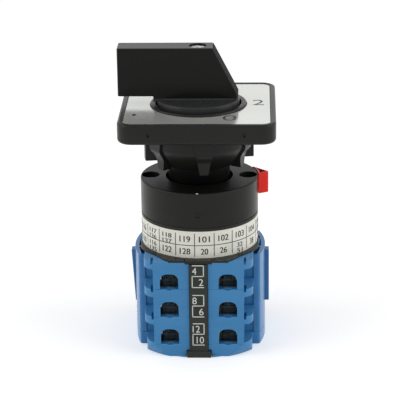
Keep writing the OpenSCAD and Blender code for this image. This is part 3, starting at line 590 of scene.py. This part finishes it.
def chains_near(first, second, reach):
    """Whether two runs of straight edges come nearer to each other than a length."""
    for a in first:
        for b in second:
            span = (a.verts[0].co + a.verts[1].co - b.verts[0].co - b.verts[1].co).length / 2
            if span > reach + (a.calc_length() + b.calc_length()) / 2:
                continue
            ends = [(v, b) for v in a.verts] + [(v, a) for v in b.verts]
            if any(point_to_edge(vertex.co, edge) < reach for vertex, edge in ends):
                return True
    return False


def point_to_edge(point, edge):
    """How far a point is from a straight edge."""
    start, end = (v.co for v in edge.verts)
    along = end - start
    if not along.length_squared:
        return (start - point).length
    share = max(0.0, min(1.0, (point - start).dot(along) / along.length_squared))
    return (start + along * share - point).length


def soften(shape, width, steps=2):
    """Rounds a merged shape's edges by a width in millimetres, and marks the new faces."""
    mark = shape.faces.layers.float.new("softened")
    sharp = [e for e in shape.edges if len(e.link_faces) == 2 and e.calc_face_angle(0) > SHARP]
    result = bmesh.ops.bevel(shape, geom=roomy_edges(sharp, width * MM), offset=width * MM,
                             offset_type="OFFSET", segments=steps, profile=0.5, affect="EDGES",
                             clamp_overlap=False, loop_slide=True)
    for face in result["faces"]:
        face[mark] = 1.0


def cad_copy(node):
    """The node's mesh with its doubles merged and its flat faces joined."""
    shape = bmesh.new()
    shape.from_mesh(frame["nodes"][node].data)
    bmesh.ops.remove_doubles(shape, verts=shape.verts, dist=0.002 * MM)
    bmesh.ops.dissolve_limit(shape, angle_limit=FLAT, verts=shape.verts, edges=shape.edges)
    return shape


def mark_slanted_end(shape):
    """Marks the large face at the lever's slanted end as dulled."""
    least_area, least_slope = 60 * MM ** 2, 0.6
    dulled = shape.faces.layers.float.new("dulled")
    for face in shape.faces:
        face[dulled] = float(face.normal.x > least_slope and face.calc_area() > least_area)


def cut_away(shape, blocks):
    """A merged shape without what lies in some blocks, each an outline with two heights."""
    cutters = bmesh.new()
    for outline, low, high in blocks:
        block = prism(outline, low, high)
        placed(block)
        join(cutters, block)
    cutter = shown("cutter", mesh_from(cutters, "cutter"))
    whole = shown("whole", mesh_from(shape, "whole"))
    cut = whole.modifiers.new("cut", "BOOLEAN")
    cut.operation = "DIFFERENCE"
    cut.solver = "EXACT"
    cut.object = cutter
    rest = shape_from(evaluated_mesh(whole))
    for thing in (cutter, whole):
        bpy.data.objects.remove(thing)
    return rest


def softened_piece(node, finish, width):
    """A copy of a CAD node with rounded edges, which stands for it."""
    shape = cad_copy(node)
    if node == "handle":
        mark_slanted_end(shape)
    if node in CUT_AWAY:
        shape = cut_away(shape, CUT_AWAY[node])
    soften(shape, width)
    stand_in(node, shape, finish)


def slot_of_nodes():
    """Each CAD node's material slot, from the record."""
    return {entry["node"]: entry["material_slot"] for entry in frame["record"]["subparts"]}


def dress_cad_nodes(slots):
    """The CAD nodes that stay take their slot's finish."""
    for node, thing in frame["nodes"].items():
        if node in slots:
            thing.data.materials.clear()
            thing.data.materials.append(FINISHES[slots[node]])


# Strokes, numbers and repeated shapes

def bar(x0, y0, x1, y1, thick):
    """A printed bar between two points, in the plane of the print."""
    half = thick / 2
    if abs(x1 - x0) >= abs(y1 - y0):
        return [(x0, y0 - half), (x1, y1 - half), (x1, y1 + half), (x0, y0 + half)]
    return [(x0 - half, y0), (x0 + half, y0), (x1 + half, y1), (x1 - half, y1)]


def numerals(text, left, right, low, high, thick, weight=0.0):
    """Plain numbers that fill a box of the print, standing in XY."""
    curve = bpy.data.curves.new("numerals", "FONT")
    curve.body = text
    curve.extrude = thick / 2
    curve.offset = weight
    holder = shown("numerals", curve)
    shape = shape_from(evaluated_mesh(holder))
    bpy.data.objects.remove(holder)
    bpy.data.curves.remove(curve)
    bmesh.ops.remove_doubles(shape, verts=shape.verts, dist=1e-5)
    xs = [v.co.x for v in shape.verts]
    ys = [v.co.y for v in shape.verts]
    wide, tall = (right - left) / (max(xs) - min(xs)), (high - low) / (max(ys) - min(ys))
    shape.transform(Matrix.Diagonal((wide, tall, 1, 1)))
    shape.transform(Matrix.Translation((left - wide * min(xs), low - tall * min(ys), 0)))
    return shape


def grid_of_copies():
    """Geometry Nodes: the mesh that comes in, repeated in columns along X and rows along Y."""
    tree = bpy.data.node_groups.new("grid_of_copies", "GeometryNodeTree")
    inputs = (("Mesh", "Geometry"), ("Columns", "Int"), ("Rows", "Int"), ("Column Step", "Float"),
              ("Row Step", "Float"), ("Finish", "Material"))
    for name, kind in inputs:
        tree.interface.new_socket(name, in_out="INPUT", socket_type="NodeSocket" + kind)
    tree.interface.new_socket("Mesh", in_out="OUTPUT", socket_type="NodeSocketGeometry")
    given = tree.nodes.new("NodeGroupInput")
    copies = given.outputs["Mesh"]
    for count, step, axis in (("Columns", "Column Step", "X"), ("Rows", "Row Step", "Y")):
        offset = tree.nodes.new("ShaderNodeCombineXYZ")
        line = tree.nodes.new("GeometryNodeMeshLine")
        spread = tree.nodes.new("GeometryNodeInstanceOnPoints")
        tree.links.new(given.outputs[step], offset.inputs[axis])
        tree.links.new(given.outputs[count], line.inputs["Count"])
        tree.links.new(offset.outputs["Vector"], line.inputs["Offset"])
        tree.links.new(line.outputs["Mesh"], spread.inputs["Points"])
        tree.links.new(copies, spread.inputs["Instance"])
        copies = spread.outputs["Instances"]
    real = tree.nodes.new("GeometryNodeRealizeInstances")
    paint = tree.nodes.new("GeometryNodeSetMaterial")
    out = tree.nodes.new("NodeGroupOutput")
    tree.links.new(copies, real.inputs["Geometry"])
    tree.links.new(real.outputs["Geometry"], paint.inputs["Geometry"])
    tree.links.new(given.outputs["Finish"], paint.inputs["Material"])
    tree.links.new(paint.outputs["Geometry"], out.inputs["Mesh"])
    return tree


GRID = grid_of_copies()


def repeated(shape, finish, columns, rows, column_step, row_step):
    """A shape repeated by the grid, as one plain shape."""
    holder = shown("repeated", mesh_from(shape, "repeated"))
    copier = holder.modifiers.new("copies", "NODES")
    copier.node_group = GRID
    inputs = {"Columns": columns, "Rows": rows, "Column Step": column_step, "Row Step": row_step,
              "Finish": FINISHES[finish]}
    for socket in GRID.interface.items_tree:
        if socket.in_out == "INPUT" and socket.name in inputs:
            copier[socket.identifier] = inputs[socket.name]
    mesh = evaluated_mesh(holder)
    mesh.materials.clear()
    bpy.data.objects.remove(holder)
    return shape_from(mesh)


# Prints on the marker strips, the label and the legend plate

def make_marker_print(name, sign, numbers):
    """Terminal numbers with their stepped lines on a marker strip. sign -1 is the front."""
    sheet = bmesh.new()
    left, right, stroke, raised, tall = -1.88, 1.62, 0.28, 0.03, 2.25
    width_of_1, one_digit, two_digits = 0.42, 1.38, 2.26
    tops, to_middle, to_bottom, to_left_foot, to_right_foot = (30.93, 21.04, 11.45), 3.55, 7.25, 2.95, 6.68
    for top, pair in zip(tops, numbers):
        middle, bottom = top - to_middle, top - to_bottom
        lines = ((left, top, right + stroke / 2, top), (right, middle - stroke / 2, right, top),
                 (left - stroke / 2, middle, right, middle), (left, bottom, left, middle),
                 (left - stroke / 2, bottom, right + stroke / 2, bottom))
        for line in lines:
            join(sheet, prism(bar(*line, stroke), -raised, raised))
        for text, side, foot in zip(pair, (-1, 1), (top - to_left_foot, top - to_right_foot)):
            wide = one_digit if len(text) == 1 else two_digits
            if text == "1":
                wide = width_of_1
            start = left - 0.05 if side < 0 else right - 0.08 - wide
            join(sheet, numerals(text, start, start + wide, foot, foot + tall, 2 * raised))
    placed(sheet, lambda p: (-sign * p.x, sign * (STRIP_FACE + p.z), p.y))
    new_piece(name, sheet, "base", "ink_white")


def on_drum(radius):
    """Wraps a flat print (x along the girth, y up) round the housing, x = 0 at the front."""
    def spot(p):
        angle = p.x / HOUSING_RADIUS - math.pi / 2
        reach = radius + p.z
        return (reach * math.cos(angle), reach * math.sin(angle), p.y)
    return spot


def make_label_print():
    """Table lines and plain numbers round the label."""
    sheet = bmesh.new()
    columns, steps, thick, ink_depth, half_digit, bolder = 19, 6, 0.22, 0.03, 0.56, 0.05
    first_line, foot_margin, head_margin, drop = math.radians(-3.4), 0.5, 0.7, 0.1
    cell = 2 * math.pi * HOUSING_RADIUS / columns
    start = first_line * HOUSING_RADIUS
    low, high = LABEL_LOW + foot_margin, LABEL_HIGH - head_margin
    middle = (low + high) / 2 - drop
    upright = bar(start, low, start, high, thick)
    across = bar(start, middle, start + cell / steps, middle, thick)
    for line, count in ((upright, columns), (across, columns * steps)):
        stroke = prism(line, -ink_depth / 2, ink_depth / 2)
        join(sheet, repeated(stroke, "ink_black", count, 1, columns * cell / count, 0.0))
    for index in range(columns):
        for text, level, tall in column_entries(index):
            centre, foot = start + (index + 0.5) * cell, middle + level - tall / 2
            half = half_digit * len(text)
            for shift in (-bolder, bolder):
                sides = (centre - half + shift, centre + half + shift)
                join(sheet, numerals(text, *sides, foot, foot + tall, ink_depth))
    placed(sheet, on_drum(LABEL_REACH + SEAT))
    new_piece("label_print", sheet, "base", "ink_black")


def column_entries(index):
    """The numbers in one column of the label's table: text, level over the middle line and height."""
    lines_in = ((1, 1), (1, 1), (1, 2), (1, 1), (2, 2), (2, 1))
    large, small, first_up, second_down = 1.95, 1.45, 0.55, 1.35
    upper, lower = lines_in[index % len(lines_in)]
    for lines, level, number in ((upper, 2.05, 101 + index), (lower, -2.0, 20 + 6 * index)):
        if lines == 1:
            yield str(number), level, large
        else:
            yield str(number), level + first_up, small
            yield str(number + 19), level - second_down, small


def make_legend_print():
    """Position numbers of the handle on the legend plate."""
    sheet = bmesh.new()
    ink_depth, lighter = 0.03, -0.006
    for text, x, y, wide, tall in (("2", 18.6, 1.0, 3.6, 5.6), ("0", 9.9, -15.6, 4.2, 5.2),
                                   ("1", -19.3, -12.2, 1.0, 2.4)):
        box = (x - wide / 2, x + wide / 2, y - tall / 2, y + tall / 2)
        join(sheet, numerals(text, *box, ink_depth, lighter))
    placed(sheet, lambda p: (p.x, p.y, LEGEND_TOP + p.z))
    new_piece("legend_print", sheet, "base", "ink_grey")


# Small fittings

def each_terminal():
    """The side (-1 front, 1 rear), hand and lowest level of each of the twelve terminals."""
    for number_up in range(STAGES):
        for side in (-1, 1):
            for hand in (-1, 1):
                yield side, hand, END_PLATE + number_up * STAGE_HEIGHT


def make_clamp_teeth():
    """Rows of small teeth on the wire stop of each clamp."""
    pitch, depth, columns, rows, gap = 0.62, 0.28, 7, 3, 0.04
    first_x, first_level, stop, lean = 7.75, 1.78, 15.08, 0.1
    half = (pitch - gap) / 2
    teeth = bmesh.new()
    for side, hand, level in each_terminal():
        tooth = bmesh.new()
        foot = [tooth.verts.new((first_x + x, first_level + y, stop)) for x, y in
                ((-half, -half), (half, -half), (half, half), (-half, half))]
        tip = tooth.verts.new((first_x, first_level - lean, stop + depth))
        tooth.faces.new(foot[::-1])
        for corner, after in zip(foot, foot[1:] + foot[:1]):
            tooth.faces.new((corner, after, tip))
        copies = repeated(tooth, "clamp_steel", columns, rows, pitch, pitch)
        placed(copies, lambda p: (hand * p.x, side * p.z, level + p.y))
        join(teeth, copies)
    new_piece("clamp_teeth", teeth, "base", "clamp_steel")


def make_clamp_saddles():
    """A bent steel tongue under the wire in each clamp, with its turned-up end.
    Its dark steel lies as painted shade on the floor of the wire entry.
    """
    inner, outer, back, front = 7.25, 12.0, 14.66, 18.7
    low, rise, thick = 0.06, 1.48, 0.2
    profile = ((front, low), (back, low), (back, rise), (back + thick, rise), (back + thick, low + thick),
               (front, low + thick))
    saddles = bmesh.new()
    for side, hand, level in each_terminal():
        tongue = prism(profile, inner, outer)
        placed(tongue, lambda p: (hand * p.z, side * p.x, level + p.y))
        soften(tongue, 0.05, 1)
        join(saddles, tongue)
    new_piece("clamp_saddles", saddles, "base", "clamp_steel")


def evenly(start, end, steps):
    """Values at even steps from a start to an end."""
    return [start + (end - start) * k / steps for k in range(steps + 1)]


def arc(radius, start, end, steps):
    """Points of an arc round the switch's axis, with its angles in radians."""
    return [(radius * math.cos(a), radius * math.sin(a)) for a in evenly(start, end, steps)]


def make_flange_ears():
    """The black base flange's flat ears, which lie on the top stage up to its faces."""
    reach, corner_x, turn_x, tab, ends = 20.64, 9.35, 14.0, 4.4, math.radians(33)
    outer, inner, lip, lip_wall, lip_slant = 20.36, 19.7, 0.3, 0.035, 0.3
    low, high = STACK_TOP + 0.01, LABEL_LOW - 0.05
    outline = [(tab, reach), (corner_x, reach)]
    outline += arc(outer, math.acos(turn_x / outer), ends, 8)
    outline += arc(inner, ends, math.acos(tab / inner), 16)
    behind = reach - lip_wall
    edge = [(tab, reach), (corner_x, reach), (corner_x - lip_slant, behind), (tab, behind)]
    ears = bmesh.new()
    for side in (-1, 1):
        for hand in (-1, 1):
            for flat, bottom, top in ((outline, low, high), (edge, low - lip, low)):
                ear = prism(flat, bottom, top)
                placed(ear, lambda p: (hand * p.x, side * p.y, p.z))
                join(ears, ear)
    new_piece("flange_ears", ears, "base", "detent_black")


def cover_outline(back, reach):
    """The plan of a side cover: a wide arc with round corners, and a comb of pockets behind it."""
    half, corner, wall, bow = 10.9, 1.0, 1.35, 33.7
    rib_middle, rib_half, corner_turn = 3.3, 0.5, 74
    corner_steps, face_steps, pocket_steps = 6, 24, 6
    straight = half - corner

    def face(y):
        return reach - bow + math.sqrt(bow ** 2 - y ** 2)

    front = []
    for k in range(corner_steps):
        angle = math.radians(-90 + corner_turn * k / corner_steps)
        x = face(straight) - corner + corner * math.cos(angle)
        front.append((x, -straight + corner * math.sin(angle)))
    middle = [(face(y), y) for y in evenly(-straight, straight, face_steps)]
    outline = [(back, -half)] + front + middle + [(x, -y) for x, y in front[::-1]] + [(back, half)]
    pockets = ((half - wall, rib_middle + rib_half), (rib_middle - rib_half, -rib_middle + rib_half),
               (-rib_middle - rib_half, -half + wall))
    for start, end in pockets:
        outline.append((back, start))
        outline += [(face(y) - wall, y) for y in evenly(start, end, pocket_steps)]
        outline.append((back, end))
    return outline


def make_side_covers():
    """Curved side covers, open between their ribs, with the seam above the end plate."""
    seam, sunk, bulge, foot_depth = 0.09, 0.02, 0.05, 0.5
    for name, hand in (("left", -1), ("right", 1)):
        node = "side_cover_" + name
        box_low, box_high = box_of(node)
        near, far = sorted((abs(box_low[0]), abs(box_high[0])))
        back, reach = near - sunk, far - bulge
        cover = bmesh.new()
        for start, low, high in ((back - foot_depth, box_low[2], END_PLATE - seam),
                                 (back, END_PLATE, box_high[2])):
            shell = prism(cover_outline(start, reach), low, high)
            placed(shell, lambda p: (hand * p.x, p.y, p.z))
            soften(shell, 0.14)
            join(cover, shell)
        stand_in(node, cover, "cover_blue")


def make_side_plates():
    """Narrow upright plates on the side covers; the left one leans out at its top."""
    half_width, sunk = 1.6, 0.3
    for name, hand, lean in (("left", -1, 1.0), ("right", 1, 0.0)):
        node = "side_plate_" + name
        (x, _, low), (other_x, _, high) = box_of(node)
        out = max(abs(x), abs(other_x))
        back = max(abs(corner[0]) for corner in box_of("side_cover_" + name)) - sunk
        outline = [(back, low), (out - lean, low), (out, high), (back, high)]
        plate = prism(outline, -half_width, half_width)
        placed(plate, lambda p: (hand * p.x, p.z, p.y))
        soften(plate, 0.25)
        stand_in(node, plate, "side_plate_blue")


def paddle_outline(inset):
    """The plan of the lock lever's paddle, or of its hollow where it is inset."""
    gap = 0.13
    drum = HOUSING_RADIUS + gap + inset
    front, back = 0.95 + 1.25 * inset, 8.3 - 2.1 * inset
    nose_x, nose_y, nose = 21.02, 3.1, 0.78 - inset
    outline = [(math.sqrt(drum ** 2 - y ** 2), y) for y in evenly(back, front, 7)]
    for turn in evenly(-62, 52, 7):
        angle = math.radians(turn)
        outline.append((nose_x + nose * math.cos(angle), nose_y + nose * math.sin(angle)))
    return outline


def make_paddle():
    """The lock lever's red paddle, hollowed at its top."""
    wall, hollow = 0.56, 0.8
    low, top = (corner[2] for corner in box_of("lock_lever"))
    levels = ((0, low), (0, top), (wall, top), (wall, top - hollow))
    paddle = lofted([[(x, y, level) for x, y in paddle_outline(inset)] for inset, level in levels])
    placed(paddle)
    soften(paddle, 0.14, 3)
    new_piece("lock_paddle", paddle, "lock", "lever_red", shaded=True)


def make_lever_foot():
    """The rounding between the lever's sides and the disc."""
    face, chord, sunk = 4.25, 11.0, 0.05
    rounding = ((-sunk, -sunk), (0.95, 0.01), (0.5, 0.12), (0.18, 0.3), (-sunk, 0.62))
    profile = [(face + out, DISC_TOP + up) for out, up in rounding]
    feet = bmesh.new()
    for side in (-1, 1):
        foot = prism(profile, -chord, chord)
        placed(foot, lambda p: (p.z, side * p.x, p.y))
        join(feet, foot)
    new_piece("lever_foot", feet, "rotor", "handle_black", shaded=True)


def make_nut_flares():
    """The ring nut's rim, and the curved flares that carry its six ribs up to it."""
    rim, hub, root, turn, ribs, steps = 16.5, 12.1, 13.0, 7.8, 6, 72
    foot, head, rim_low = 58.1, NUT_TOP - 0.3, NUT_TOP - 0.5
    head_width, narrower, taper_height = 6.8, 4.2, 11.15
    reaches = ((foot, 14.7), (60.8, 14.8), (62.0, 15.15), (63.0, 15.75), (64.0, 16.5), (65.0, 16.95),
               (head, 17.0))
    nut = bmesh.new()
    for number in range(ribs):
        angle = math.radians(30 + turn + 360 / ribs * number)
        rings = []
        for level, reach in reaches:
            half = (head_width - narrower * (rim_low - level) / taper_height) / 2
            rings.append([(x, y, level) for x, y in
                          ((root, -half), (reach, -half), (reach, half), (root, half))])
        rib = lofted(rings)
        placed(rib, lambda p: (p.x * math.cos(angle) - p.y * math.sin(angle),
                               p.x * math.sin(angle) + p.y * math.cos(angle), p.z))
        join(nut, rib)
    bowl = ((hub, NUT_TOP - 0.2), (rim, NUT_TOP - 0.2), (rim, 65.6), (15.9, 64.4), (14.9, 62.8),
            (13.9, 61.2), (12.9, 59.6), (hub, 58.8))
    ring = turned(bowl, steps)
    placed(ring)
    join(nut, ring)
    new_piece("nut_flares", nut, "nut", "nut_black", shaded=True)


def make_gate_mark():
    """A small gate nub on the latch cover's front edge, painted pale as a painted highlight."""
    radius, steps, left, sunk, below, thin, low = 0.42, 12, 0.15, 0.28, 0.12, 0.55, 0.5
    front, top = -HOUSING_RADIUS + sunk, COVER_TOP - below
    dome = bmesh.new()
    bmesh.ops.create_uvsphere(dome, u_segments=steps, v_segments=steps // 2, radius=radius)
    placed(dome, lambda p: (p.x - left, thin * p.y + front, low * p.z + top))
    new_piece("gate_nub_highlight", dome, "base", "gate_white")


# Scene

def seen_straight(finish):
    """1 for the rays that show the surroundings: the camera's, a gloss's and a glass's."""
    camera = finish.node("ShaderNodeLightPath", output="Is Camera Ray")
    gloss = finish.node("ShaderNodeLightPath", output="Is Glossy Ray")
    glass = finish.node("ShaderNodeLightPath", output="Is Transmission Ray")
    return camera.math("MAXIMUM", camera.math("MAXIMUM", camera, gloss), glass)


def make_floor():
    """A wide pale floor that shows white, and keeps the switch's shadow."""
    reach = 4
    shape = bmesh.new()
    corners = ((-reach, -reach), (reach, -reach), (reach, reach), (-reach, reach))
    shape.faces.new([shape.verts.new((x, y, 0)) for x, y in corners])
    finish = Finish("floor_paper")
    fibre = finish.noise(finish.place(), 0.05)
    colour = finish.mix((0.9, 0.9, 0.9, 1), (0.92, 0.92, 0.92, 1), fibre)
    paper = finish.node("ShaderNodeBsdfDiffuse", {}, {"Color": colour})
    glow = finish.node("ShaderNodeEmission", {}, {"Strength": seen_straight(finish) * FLOOR_GLOW})
    finish.node_output(finish.node("ShaderNodeAddShader", {}, {0: paper, 1: glow}))
    floor = shown("floor", mesh_from(shape, "floor"))
    floor.data.materials.append(finish.material)


class Sky(Finish):
    """The world's shader, built node by node as a finish is."""

    def __init__(self, name):
        self.world = bpy.data.worlds.new(name)
        self.world.use_nodes = True
        self.tree = self.world.node_tree
        self.tree.nodes.clear()

    def node_output(self, shader):
        made = self.tree.nodes.new("ShaderNodeOutputWorld")
        self.tree.links.new(shader.socket, made.inputs["Surface"])


def make_world():
    """White for the camera, for gloss and for glass, and plain soft light elsewhere."""
    sky = Sky("studio")
    strength = SKY_LIGHT + seen_straight(sky) * (1 - SKY_LIGHT)
    sky.node_output(sky.node("ShaderNodeBackground", {}, {"Color": (1, 1, 1, 1), "Strength": strength}))
    bpy.context.scene.world = sky.world


def side_block(hand):
    """What is cut from one side of the base flange, to leave it straight beside the label."""
    near, far, below, above = hand * (HOUSING_RADIUS + 0.06), hand * BEYOND, 3.0, 0.3
    outline = [(near, -BEYOND), (far, -BEYOND), (far, BEYOND), (near, BEYOND)]
    return outline, STACK_TOP - below, LABEL_LOW + above


def paddle_block():
    """What is cut from the lock lever: its paddle, which is made anew."""
    foot, top = (corner[2] for corner in box_of("lock_lever"))
    front, back, front_x, back_x, below, above = -1.0, 9.0, 18.45, 16.75, 0.7, 0.5
    outline = [(front_x, front), (BEYOND, front), (BEYOND, back), (back_x, back)]
    return outline, foot - below, top + above


CUT_AWAY = {"detent_housing": [side_block(-1), side_block(1)], "lock_lever": [paddle_block()]}

# How wide the edges of each CAD node are rounded, in millimetres
SOFTENED = {
    "handle": 0.2, "handle_screw": 0.12, "bezel_frame": 0.15, "legend_plate": 0.08, "mounting_base": 0.12,
    "ring_nut": 0.2, "latch_cover": 0.18, "lock_lever": 0.15, "detent_housing": 0.15, "end_plate": 0.18,
    "marker_strip_front": 0.12, "marker_strip_rear": 0.12, "through_bolts": 0.12, "bolt_nuts": 0.12,
    "thrust_washer": 0.08, "panel_gasket": 0.08,
}
for stage in range(1, STAGES + 1):
    for kind, edge_width in (("stage", 0.18), ("terminal_screws", 0.1), ("terminal_clamps", 0.08)):
        SOFTENED[f"{kind}_{stage}"] = edge_width

bpy.context.scene.view_settings.view_transform = "Standard"
make_camera()
make_world()
make_floor()
make_softbox("left_lamp", (-0.8, -0.25, 0.45), 3.2)
make_softbox("right_lamp", (0.85, -0.2, 0.4), 3.4)

node_slots = slot_of_nodes()
dress_cad_nodes(node_slots)
for cad_node, edge_width in SOFTENED.items():
    softened_piece(cad_node, node_slots[cad_node], edge_width)

make_marker_print("front_numbers", -1, (("4", "2"), ("8", "6"), ("12", "10")))
make_marker_print("rear_numbers", 1, (("3", "1"), ("7", "5"), ("11", "9")))
make_label_print()
make_legend_print()
make_clamp_teeth()
make_clamp_saddles()
make_flange_ears()
make_side_covers()
make_side_plates()
make_nut_flares()
make_lever_foot()
make_paddle()
make_gate_mark()
